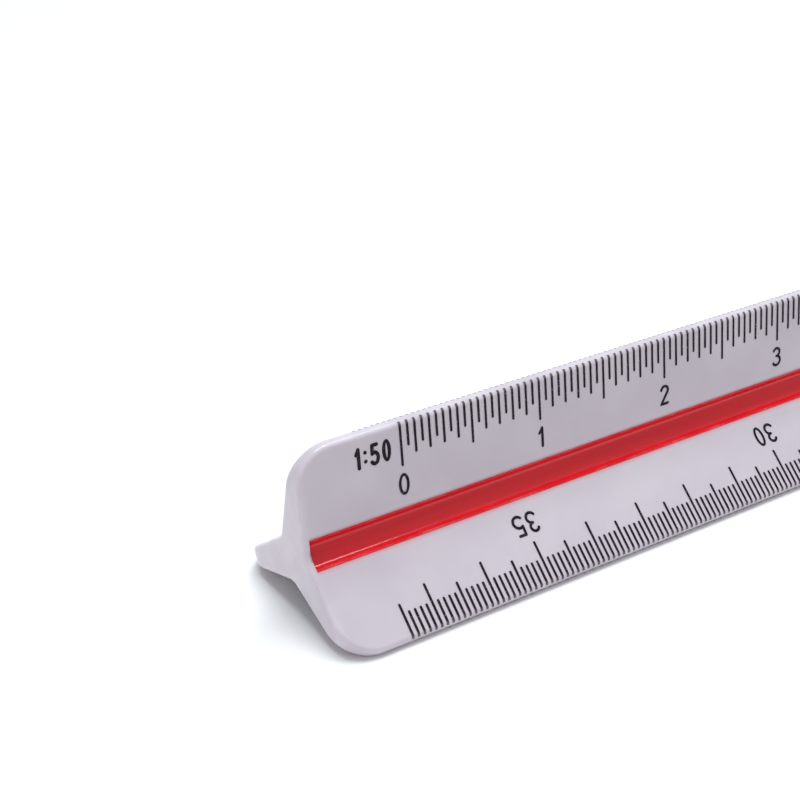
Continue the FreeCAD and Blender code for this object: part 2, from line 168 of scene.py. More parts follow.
def makeWhitePlastic(settings):
    material = bpy.data.materials.new("whitePlastic")
    material.use_nodes = True
    nodes, links = material.node_tree.nodes, material.node_tree.links
    nodes.clear()

    placeFrame = nodes.new("NodeFrame")
    placeFrame.label = "where on the ruler"
    rubFrame = nodes.new("NodeFrame")
    rubFrame.label = "rubbed edges and ends"
    colourFrame = nodes.new("NodeFrame")
    colourFrame.label = "milky colour"
    redFrame = nodes.new("NodeFrame")
    redFrame.label = "painted red glow beside the groove"
    tealFrame = nodes.new("NodeFrame")
    tealFrame.label = "painted teal glow beside the groove"
    glossFrame = nodes.new("NodeFrame")
    glossFrame.label = "gloss and handling"
    reliefFrame = nodes.new("NodeFrame")
    reliefFrame.label = "moulded relief"

    coords = nodes.new("ShaderNodeTexCoord")
    coords.label = "place on the ruler"
    fromCentre = nodes.new("ShaderNodeMapping")
    fromCentre.label = "place from the centre line"
    upperReach = nodes.new("ShaderNodeVectorMath")
    upperReach.label = "reach along the upper blade"
    frontReach = nodes.new("ShaderNodeVectorMath")
    frontReach.label = "reach along the front blade"
    backReach = nodes.new("ShaderNodeVectorMath")
    backReach.label = "reach along the back blade"
    twoReaches = nodes.new("ShaderNodeMath")
    twoReaches.label = "further of two blades"
    bladeReach = nodes.new("ShaderNodeMath")
    bladeReach.label = "reach along any blade"
    separate = nodes.new("ShaderNodeSeparateXYZ")
    separate.label = "along the ruler"
    endReach = nodes.new("ShaderNodeMath")
    endReach.label = "towards either end"

    edgeRub = nodes.new("ShaderNodeMapRange")
    edgeRub.label = "last part of a blade"
    endRub = nodes.new("ShaderNodeMapRange")
    endRub.label = "last part of the length"
    anyRub = nodes.new("ShaderNodeMath")
    anyRub.label = "edge or end"
    rubPatches = nodes.new("ShaderNodeTexNoise")
    rubPatches.label = "patches of wear"
    rubContrast = nodes.new("ShaderNodeMapRange")
    rubContrast.label = "uneven wear"
    rubbed = nodes.new("ShaderNodeMath")
    rubbed.label = "rubbed amount"

    clouds = nodes.new("ShaderNodeTexNoise")
    clouds.label = "uneven milkiness"
    cloudColour = nodes.new("ShaderNodeValToRGB")
    cloudColour.label = "milk to cream"
    edgeColour = nodes.new("ShaderNodeMix")
    edgeColour.label = "paler where rubbed"

    # the nodes from here to the teal ones paint a red and a teal glow into the plastic's colour beside the
    # grooves
    glowEnds = nodes.new("ShaderNodeMapRange")
    glowEnds.label = "no glow on the end faces"
    redOut = nodes.new("ShaderNodeVectorMath")
    redOut.label = "out of the red groove"
    redAcross = nodes.new("ShaderNodeVectorMath")
    redAcross.label = "across the red groove"
    redSides = nodes.new("ShaderNodeMath")
    redSides.label = "either side of the red"
    redNear = nodes.new("ShaderNodeMapRange")
    redNear.label = "beside the red"
    redFace = nodes.new("ShaderNodeMath")
    redFace.label = "red face only"
    paintedRedGlow = nodes.new("ShaderNodeMath")
    paintedRedGlow.label = "red glow"
    redGlowPaintedOn = nodes.new("ShaderNodeMix")
    redGlowPaintedOn.label = "painted red glow on the plastic"

    tealOut = nodes.new("ShaderNodeVectorMath")
    tealOut.label = "out of the teal groove"
    tealAcross = nodes.new("ShaderNodeVectorMath")
    tealAcross.label = "across the teal groove"
    tealSides = nodes.new("ShaderNodeMath")
    tealSides.label = "either side of the teal"
    tealNear = nodes.new("ShaderNodeMapRange")
    tealNear.label = "beside the teal"
    tealFace = nodes.new("ShaderNodeMath")
    tealFace.label = "teal face only"
    paintedTealGlow = nodes.new("ShaderNodeMath")
    paintedTealGlow.label = "teal glow"
    tealGlowPaintedOn = nodes.new("ShaderNodeMix")
    tealGlowPaintedOn.label = "painted teal glow on the plastic"

    alongRuler = nodes.new("ShaderNodeMapping")
    alongRuler.label = "drawn out along the ruler"
    streaks = nodes.new("ShaderNodeTexNoise")
    streaks.label = "sliding streaks"
    smears = nodes.new("ShaderNodeTexNoise")
    smears.label = "finger smears"
    handled = nodes.new("ShaderNodeMath")
    handled.label = "streaks and smears"
    gloss = nodes.new("ShaderNodeMapRange")
    gloss.label = "gloss of the moulding"
    rubbedGloss = nodes.new("ShaderNodeMath")
    rubbedGloss.label = "duller where rubbed"

    waves = nodes.new("ShaderNodeTexNoise")
    waves.label = "slow waves of the moulding"
    grain = nodes.new("ShaderNodeTexNoise")
    grain.label = "fine grain"
    grainOnWaves = nodes.new("ShaderNodeMath")
    grainOnWaves.label = "shallow grain"
    streakedRelief = nodes.new("ShaderNodeMath")
    streakedRelief.label = "shallow streaks"
    relief = nodes.new("ShaderNodeBump")
    relief.label = "moulded surface"
    shader = nodes.new("ShaderNodeBsdfPrincipled")
    shader.label = "milky plastic"
    output = nodes.new("ShaderNodeOutputMaterial")
    output.label = "body surface"

    layOut((
        (placeFrame, 0, 900, ((coords, fromCentre), (separate, endReach, glowEnds),
                              (upperReach, twoReaches, bladeReach), (frontReach, backReach))),
        (rubFrame, 900, 900, ((edgeRub, anyRub, rubbed), (endRub,), (rubPatches, rubContrast))),
        (colourFrame, 900, -200, ((clouds, cloudColour, edgeColour),)),
        (redFrame, 0, -700, ((redOut, redFace, paintedRedGlow, redGlowPaintedOn),
                             (redAcross, redSides, redNear))),
        (tealFrame, 1100, -700, ((tealOut, tealFace, paintedTealGlow, tealGlowPaintedOn),
                                 (tealAcross, tealSides, tealNear))),
        (glossFrame, 0, -1500, ((alongRuler, streaks, handled, gloss, rubbedGloss), (smears,))),
        (reliefFrame, 1300, -1500, ((waves, grainOnWaves, streakedRelief, relief), (grain,))),
        (None, 2300, 0, ((shader, output),)),
    ))

    fromCentre.inputs["Location"].default_value = -centre
    upperReach.operation = "DOT_PRODUCT"
    upperReach.inputs[1].default_value = outward(0)
    frontReach.operation = "DOT_PRODUCT"
    frontReach.inputs[1].default_value = outward(bladeTurn)
    backReach.operation = "DOT_PRODUCT"
    backReach.inputs[1].default_value = outward(2 * bladeTurn)
    twoReaches.operation = "MAXIMUM"
    bladeReach.operation = "MAXIMUM"
    endReach.operation = "ABSOLUTE"
    edgeRub.interpolation_type = "SMOOTHSTEP"
    edgeRub.inputs["From Min"].default_value = sectionSizes["tipReach"] - settings["rubDepth"]
    edgeRub.inputs["From Max"].default_value = sectionSizes["tipReach"]
    endRub.interpolation_type = "SMOOTHSTEP"
    endRub.inputs["From Min"].default_value = rulerLength / 2 - settings["endRubDepth"]
    endRub.inputs["From Max"].default_value = rulerLength / 2
    anyRub.operation = "MAXIMUM"
    rubPatches.inputs["Scale"].default_value = settings["patchScale"]
    rubPatches.inputs["Detail"].default_value = 4
    rubContrast.inputs["From Min"].default_value = settings["wearFrom"]
    rubContrast.inputs["From Max"].default_value = settings["wearFull"]
    rubbed.operation = "MULTIPLY"
    clouds.inputs["Scale"].default_value = settings["cloudScale"]
    clouds.inputs["Detail"].default_value = 5
    cloudColour.color_ramp.elements[0].position = settings["milkUpTo"]
    cloudColour.color_ramp.elements[0].color = settings["milk"]
    cloudColour.color_ramp.elements[1].position = settings["creamFrom"]
    cloudColour.color_ramp.elements[1].color = settings["cream"]
    edgeColour.data_type = "RGBA"
    edgeColour.inputs["B"].default_value = settings["rubbed"]
    glowEnds.interpolation_type = "SMOOTHSTEP"
    glowEnds.inputs["From Min"].default_value = rulerLength / 2 - settings["glowEnd"]
    glowEnds.inputs["From Max"].default_value = rulerLength / 2 - settings["glowEnd"] / 3
    glowEnds.inputs["To Min"].default_value = 1
    glowEnds.inputs["To Max"].default_value = 0
    # painted red glow: within a glow's width of the red groove's edges, on the red groove's face only
    redOut.operation = "DOT_PRODUCT"
    redOut.inputs[1].default_value = outward(frontGroove)
    redAcross.operation = "DOT_PRODUCT"
    redAcross.inputs[1].default_value = outward(frontGroove + radians(90))
    redSides.operation = "ABSOLUTE"
    redNear.interpolation_type = "SMOOTHSTEP"
    redNear.inputs["From Min"].default_value = sectionSizes["grooveWidth"] / 2 + settings["glowWidth"]
    redNear.inputs["From Max"].default_value = sectionSizes["grooveWidth"] / 2
    redFace.operation = "GREATER_THAN"
    redFace.inputs[1].default_value = sectionSizes["grooveFloor"]
    paintedRedGlow.operation = "MULTIPLY"
    redGlowPaintedOn.data_type = "RGBA"
    redGlowPaintedOn.inputs["B"].default_value = settings["paintedRedGlow"]
    # painted teal glow: within a glow's width of the teal groove's edges, on the teal groove's face only
    tealOut.operation = "DOT_PRODUCT"
    tealOut.inputs[1].default_value = outward(lowerGroove)
    tealAcross.operation = "DOT_PRODUCT"
    tealAcross.inputs[1].default_value = outward(lowerGroove + radians(90))
    tealSides.operation = "ABSOLUTE"
    tealNear.interpolation_type = "SMOOTHSTEP"
    tealNear.inputs["From Min"].default_value = sectionSizes["grooveWidth"] / 2 + settings["glowWidth"]
    tealNear.inputs["From Max"].default_value = sectionSizes["grooveWidth"] / 2
    tealFace.operation = "GREATER_THAN"
    tealFace.inputs[1].default_value = sectionSizes["grooveFloor"]
    paintedTealGlow.operation = "MULTIPLY"
    tealGlowPaintedOn.data_type = "RGBA"
    tealGlowPaintedOn.inputs["B"].default_value = settings["paintedTealGlow"]
    alongRuler.inputs["Scale"].default_value = settings["streakStretch"]
    streaks.inputs["Scale"].default_value = 1
    streaks.inputs["Detail"].default_value = 3
    smears.inputs["Scale"].default_value = settings["smearScale"]
    smears.inputs["Detail"].default_value = 6
    smears.inputs["Distortion"].default_value = 1.2
    handled.operation = "MULTIPLY"
    gloss.inputs["From Min"].default_value = settings["leastHandled"]
    gloss.inputs["From Max"].default_value = settings["mostHandled"]
    gloss.inputs["To Min"].default_value = settings["glossiest"]
    gloss.inputs["To Max"].default_value = settings["dullest"]
    rubbedGloss.operation = "MULTIPLY_ADD"
    rubbedGloss.inputs[1].default_value = settings["rubDulling"]
    waves.inputs["Scale"].default_value = settings["waveScale"]
    waves.inputs["Detail"].default_value = 1
    grain.inputs["Scale"].default_value = settings["grainScale"]
    grain.inputs["Detail"].default_value = 2
    grainOnWaves.operation = "MULTIPLY_ADD"
    grainOnWaves.inputs[1].default_value = settings["grainShare"]
    streakedRelief.operation = "MULTIPLY_ADD"
    streakedRelief.inputs[1].default_value = settings["streakShare"]
    relief.inputs["Strength"].default_value = 1
    relief.inputs["Distance"].default_value = settings["reliefHeight"]
    shader.inputs["IOR"].default_value = settings["ior"]
    shader.inputs["Subsurface Weight"].default_value = settings["subsurface"]
    shader.inputs["Subsurface Radius"].default_value = settings["scatterColour"]
    shader.inputs["Subsurface Scale"].default_value = settings["scatterScale"]

    links.new(coords.outputs["Object"], fromCentre.inputs["Vector"])
    links.new(coords.outputs["Object"], separate.inputs["Vector"])
    links.new(separate.outputs["X"], endReach.inputs[0])
    links.new(fromCentre.outputs["Vector"], upperReach.inputs[0])
    links.new(fromCentre.outputs["Vector"], frontReach.inputs[0])
    links.new(fromCentre.outputs["Vector"], backReach.inputs[0])
    links.new(upperReach.outputs["Value"], twoReaches.inputs[0])
    links.new(frontReach.outputs["Value"], twoReaches.inputs[1])
    links.new(twoReaches.outputs["Value"], bladeReach.inputs[0])
    links.new(backReach.outputs["Value"], bladeReach.inputs[1])
    links.new(bladeReach.outputs["Value"], edgeRub.inputs["Value"])
    links.new(endReach.outputs["Value"], endRub.inputs["Value"])
    links.new(edgeRub.outputs["Result"], anyRub.inputs[0])
    links.new(endRub.outputs["Result"], anyRub.inputs[1])
    links.new(coords.outputs["Object"], rubPatches.inputs["Vector"])
    links.new(rubPatches.outputs["Fac"], rubContrast.inputs["Value"])
    links.new(anyRub.outputs["Value"], rubbed.inputs[0])
    links.new(rubContrast.outputs["Result"], rubbed.inputs[1])
    links.new(coords.outputs["Object"], clouds.inputs["Vector"])
    links.new(clouds.outputs["Fac"], cloudColour.inputs["Fac"])
    links.new(rubbed.outputs["Value"], edgeColour.inputs["Factor"])
    links.new(cloudColour.outputs["Color"], edgeColour.inputs["A"])
    links.new(fromCentre.outputs["Vector"], redOut.inputs[0])
    links.new(fromCentre.outputs["Vector"], redAcross.inputs[0])
    links.new(redAcross.outputs["Value"], redSides.inputs[0])
    links.new(endReach.outputs["Value"], glowEnds.inputs["Value"])
    links.new(redSides.outputs["Value"], redNear.inputs["Value"])
    links.new(glowEnds.outputs["Result"], redNear.inputs["To Max"])
    links.new(redOut.outputs["Value"], redFace.inputs[0])
    links.new(redNear.outputs["Result"], paintedRedGlow.inputs[0])
    links.new(redFace.outputs["Value"], paintedRedGlow.inputs[1])
    links.new(paintedRedGlow.outputs["Value"], redGlowPaintedOn.inputs["Factor"])
    links.new(edgeColour.outputs["Result"], redGlowPaintedOn.inputs["A"])
    links.new(fromCentre.outputs["Vector"], tealOut.inputs[0])
    links.new(fromCentre.outputs["Vector"], tealAcross.inputs[0])
    links.new(tealAcross.outputs["Value"], tealSides.inputs[0])
    links.new(tealSides.outputs["Value"], tealNear.inputs["Value"])
    links.new(glowEnds.outputs["Result"], tealNear.inputs["To Max"])
    links.new(tealOut.outputs["Value"], tealFace.inputs[0])
    links.new(tealNear.outputs["Result"], paintedTealGlow.inputs[0])
    links.new(tealFace.outputs["Value"], paintedTealGlow.inputs[1])
    links.new(paintedTealGlow.outputs["Value"], tealGlowPaintedOn.inputs["Factor"])
    links.new(redGlowPaintedOn.outputs["Result"], tealGlowPaintedOn.inputs["A"])
    links.new(tealGlowPaintedOn.outputs["Result"], shader.inputs["Base Color"])
    links.new(coords.outputs["Object"], alongRuler.inputs["Vector"])
    links.new(alongRuler.outputs["Vector"], streaks.inputs["Vector"])
    links.new(coords.outputs["Object"], smears.inputs["Vector"])
    links.new(streaks.outputs["Fac"], handled.inputs[0])
    links.new(smears.outputs["Fac"], handled.inputs[1])
    links.new(handled.outputs["Value"], gloss.inputs["Value"])
    links.new(rubbed.outputs["Value"], rubbedGloss.inputs[0])
    links.new(gloss.outputs["Result"], rubbedGloss.inputs[2])
    links.new(rubbedGloss.outputs["Value"], shader.inputs["Roughness"])
    links.new(coords.outputs["Object"], waves.inputs["Vector"])
    links.new(coords.outputs["Object"], grain.inputs["Vector"])
    links.new(grain.outputs["Fac"], grainOnWaves.inputs[0])
    links.new(waves.outputs["Fac"], grainOnWaves.inputs[2])
    links.new(streaks.outputs["Fac"], streakedRelief.inputs[0])
    links.new(grainOnWaves.outputs["Value"], streakedRelief.inputs[2])
    links.new(streakedRelief.outputs["Value"], relief.inputs["Height"])
    links.new(relief.outputs["Normal"], shader.inputs["Normal"])
    links.new(shader.outputs["BSDF"], output.inputs["Surface"])
    return material


# coloured lacquer that lines a groove
lacquerSettings = {
    "streakStretch": (25, 1400, 1400),
    "mottleScale": 320,
    "peelScale": 1500,
    "lipDepth": 0.0005,  # how far down a wall the lacquer thins
    # height above a groove's floor over which the lacquer's colour is made darker
    "floorDarkHeight": 0.0006,
    "scuffScale": 420,
    "glossiest": 0.06,
    "dullest": 0.15,
    "scuffDulling": 0.25,
    "streakShare": 0.4,
    "peelHeight": 0.000012,
    "deepUpTo": 0.14,
    "brightFrom": 0.40,
    "scuffFrom": 0.42,
    "scuffFull": 0.68,
    "leastStreaked": 0.3,
    "mostStreaked": 0.7,
    "ior": 1.5,
}
# the darkest shade of each lacquer is used towards its groove's floor
redShades = {"deep": (0.74, 0.010, 0.020, 1), "bright": (0.86, 0.022, 0.032, 1),
             "darkOnFloor": (0.50, 0.005, 0.014, 1), "thin": (0.78, 0.09, 0.10, 1)}
tealShades = {"deep": (0.020, 0.20, 0.26, 1), "bright": (0.035, 0.27, 0.33, 1),
              "darkOnFloor": (0.010, 0.12, 0.16, 1), "thin": (0.16, 0.42, 0.48, 1)}


def makeLacquer(name, shades, turn, settings):
    material = bpy.data.materials.new(name)
    material.use_nodes = True
    nodes, links = material.node_tree.nodes, material.node_tree.links
    nodes.clear()

    placeFrame = nodes.new("NodeFrame")
    placeFrame.label = "where in the groove"
    colourFrame = nodes.new("NodeFrame")
    colourFrame.label = "depth of colour"
    wearFrame = nodes.new("NodeFrame")
    wearFrame.label = "thin and scuffed lips"
    glossFrame = nodes.new("NodeFrame")
    glossFrame.label = "gloss"
    reliefFrame = nodes.new("NodeFrame")
    reliefFrame.label = "lacquer surface"

    coords = nodes.new("ShaderNodeTexCoord")
    coords.label = "place on the ruler"
    fromCentre = nodes.new("ShaderNodeMapping")
    fromCentre.label = "place from the centre line"
    outOf = nodes.new("ShaderNodeVectorMath")
    outOf.label = "out of the groove"
    alongGroove = nodes.new("ShaderNodeMapping")
    alongGroove.label = "drawn out along the groove"

    streaks = nodes.new("ShaderNodeTexNoise")
    streaks.label = "wiping streaks"
    mottle = nodes.new("ShaderNodeTexNoise")
    mottle.label = "mottled pigment"
    density = nodes.new("ShaderNodeMath")
    density.label = "streaks over mottle"
    shade = nodes.new("ShaderNodeValToRGB")
    shade.label = "deep to bright"
    # colour made darker towards the groove's floor, broken up by the mottle
    floorDarkening = nodes.new("ShaderNodeMapRange")
    floorDarkening.label = "darker towards the floor"
    unevenFloorDarkening = nodes.new("ShaderNodeMath")
    unevenFloorDarkening.label = "unevenly darker towards the floor"
    floorDarkColour = nodes.new("ShaderNodeMix")
    floorDarkColour.label = "colour darker towards the floor"

    lip = nodes.new("ShaderNodeMapRange")
    lip.label = "near the lips"
    scuffs = nodes.new("ShaderNodeTexNoise")
    scuffs.label = "scuff marks"
    scuffContrast = nodes.new("ShaderNodeMapRange")
    scuffContrast.label = "only some rub through"
    worn = nodes.new("ShaderNodeMath")
    worn.label = "worn amount"
    wornColour = nodes.new("ShaderNodeMix")
    wornColour.label = "thin lacquer"

    gloss = nodes.new("ShaderNodeMapRange")
    gloss.label = "gloss of the lacquer"
    wornGloss = nodes.new("ShaderNodeMath")
    wornGloss.label = "duller where worn"
    peel = nodes.new("ShaderNodeTexNoise")
    peel.label = "orange peel"
    peelAndStreaks = nodes.new("ShaderNodeMath")
    peelAndStreaks.label = "peel over streaks"
    relief = nodes.new("ShaderNodeBump")
    relief.label = "settled surface"
    shader = nodes.new("ShaderNodeBsdfPrincipled")
    shader.label = "lacquer"
    output = nodes.new("ShaderNodeOutputMaterial")
    output.label = "groove surface"

    layOut((
        (placeFrame, 0, 600, ((coords, fromCentre, outOf), (alongGroove,))),
        (colourFrame, 800, 600, ((streaks, density, shade, floorDarkColour), (mottle, floorDarkening, unevenFloorDarkening))),
        (wearFrame, 800, -200, ((lip, worn, wornColour), (scuffs, scuffContrast))),
        (glossFrame, 800, -1000, ((gloss, wornGloss),)),
        (reliefFrame, 800, -1500, ((peel, peelAndStreaks, relief),)),
        (None, 2000, 0, ((shader, output),)),
    ))

    fromCentre.inputs["Location"].default_value = -centre
    outOf.operation = "DOT_PRODUCT"
    outOf.inputs[1].default_value = outward(turn)
    alongGroove.inputs["Scale"].default_value = settings["streakStretch"]
    streaks.inputs["Scale"].default_value = 1
    streaks.inputs["Detail"].default_value = 4
    mottle.inputs["Scale"].default_value = settings["mottleScale"]
    mottle.inputs["Detail"].default_value = 5
    density.operation = "MULTIPLY"
    shade.color_ramp.elements[0].position = settings["deepUpTo"]
    shade.color_ramp.elements[0].color = shades["deep"]
    shade.color_ramp.elements[1].position = settings["brightFrom"]
    shade.color_ramp.elements[1].color = shades["bright"]
    floorDarkening.interpolation_type = "SMOOTHSTEP"
    floorDarkening.inputs["From Min"].default_value = sectionSizes["grooveFloor"] + settings["floorDarkHeight"]
    floorDarkening.inputs["From Max"].default_value = sectionSizes["grooveFloor"]
    unevenFloorDarkening.operation = "MULTIPLY"
    floorDarkColour.data_type = "RGBA"
    floorDarkColour.inputs["B"].default_value = shades["darkOnFloor"]
    lip.interpolation_type = "SMOOTHSTEP"
    lip.inputs["From Min"].default_value = rimReach - rimRun - settings["lipDepth"]
    lip.inputs["From Max"].default_value = rimReach - rimRun
    scuffs.inputs["Scale"].default_value = settings["scuffScale"]
    scuffs.inputs["Detail"].default_value = 6
    scuffContrast.inputs["From Min"].default_value = settings["scuffFrom"]
    scuffContrast.inputs["From Max"].default_value = settings["scuffFull"]
    worn.operation = "MULTIPLY"
    wornColour.data_type = "RGBA"
    wornColour.inputs["B"].default_value = shades["thin"]
    gloss.inputs["From Min"].default_value = settings["leastStreaked"]
    gloss.inputs["From Max"].default_value = settings["mostStreaked"]
    gloss.inputs["To Min"].default_value = settings["glossiest"]
    gloss.inputs["To Max"].default_value = settings["dullest"]
    wornGloss.operation = "MULTIPLY_ADD"
    wornGloss.inputs[1].default_value = settings["scuffDulling"]
    peel.inputs["Scale"].default_value = settings["peelScale"]
    peel.inputs["Detail"].default_value = 2
    peelAndStreaks.operation = "MULTIPLY_ADD"
    peelAndStreaks.inputs[1].default_value = settings["streakShare"]
    relief.inputs["Strength"].default_value = 1
    relief.inputs["Distance"].default_value = settings["peelHeight"]
    shader.inputs["IOR"].default_value = settings["ior"]

    links.new(coords.outputs["Object"], fromCentre.inputs["Vector"])
    links.new(fromCentre.outputs["Vector"], outOf.inputs[0])
    links.new(coords.outputs["Object"], alongGroove.inputs["Vector"])
    links.new(alongGroove.outputs["Vector"], streaks.inputs["Vector"])
    links.new(coords.outputs["Object"], mottle.inputs["Vector"])
    links.new(streaks.outputs["Fac"], density.inputs[0])
    links.new(mottle.outputs["Fac"], density.inputs[1])
    links.new(density.outputs["Value"], shade.inputs["Fac"])
    links.new(outOf.outputs["Value"], floorDarkening.inputs["Value"])
    links.new(floorDarkening.outputs["Result"], unevenFloorDarkening.inputs[0])
    links.new(mottle.outputs["Fac"], unevenFloorDarkening.inputs[1])
    links.new(unevenFloorDarkening.outputs["Value"], floorDarkColour.inputs["Factor"])
    links.new(shade.outputs["Color"], floorDarkColour.inputs["A"])
    links.new(outOf.outputs["Value"], lip.inputs["Value"])
    links.new(coords.outputs["Object"], scuffs.inputs["Vector"])
    links.new(scuffs.outputs["Fac"], scuffContrast.inputs["Value"])
    links.new(lip.outputs["Result"], worn.inputs[0])
    links.new(scuffContrast.outputs["Result"], worn.inputs[1])
    links.new(worn.outputs["Value"], wornColour.inputs["Factor"])
    links.new(floorDarkColour.outputs["Result"], wornColour.inputs["A"])
    links.new(wornColour.outputs["Result"], shader.inputs["Base Color"])
    links.new(streaks.outputs["Fac"], gloss.inputs["Value"])
    links.new(worn.outputs["Value"], wornGloss.inputs[0])
    links.new(gloss.outputs["Result"], wornGloss.inputs[2])
    links.new(wornGloss.outputs["Value"], shader.inputs["Roughness"])
    links.new(coords.outputs["Object"], peel.inputs["Vector"])
    links.new(streaks.outputs["Fac"], peelAndStreaks.inputs[0])
    links.new(peel.outputs["Fac"], peelAndStreaks.inputs[2])
    links.new(peelAndStreaks.outputs["Value"], relief.inputs["Height"])
    links.new(relief.outputs["Normal"], shader.inputs["Normal"])
    links.new(shader.outputs["BSDF"], output.inputs["Surface"])
    return material


# black ink printed on the flanks and over the edges
inkSettings = {
    "dense": (0.008, 0.004, 0.009, 1),
    "sparse": (0.026, 0.016, 0.028, 1),
    "throughInk": (0.30, 0.26, 0.30, 1),
    "mottleScale": 700,
    "speckleScale": 5200,
    "wrapDepth": 0.00055,  # last part of a blade, where the ink is carried over the edge
    "wrapThinning": 0.5,
    "glossiest": 0.42,
    "dullest": 0.6,
    "reliefHeight": 0.000006,
    "denseUpTo": 0.42,
    "sparseFrom": 0.72,
    "holesFrom": 0.66,
    "holesFull": 0.80,
    "leastMottled": 0.3,
    "mostMottled": 0.7,
    "ior": 1.4,
    "specular": 0.2,
}


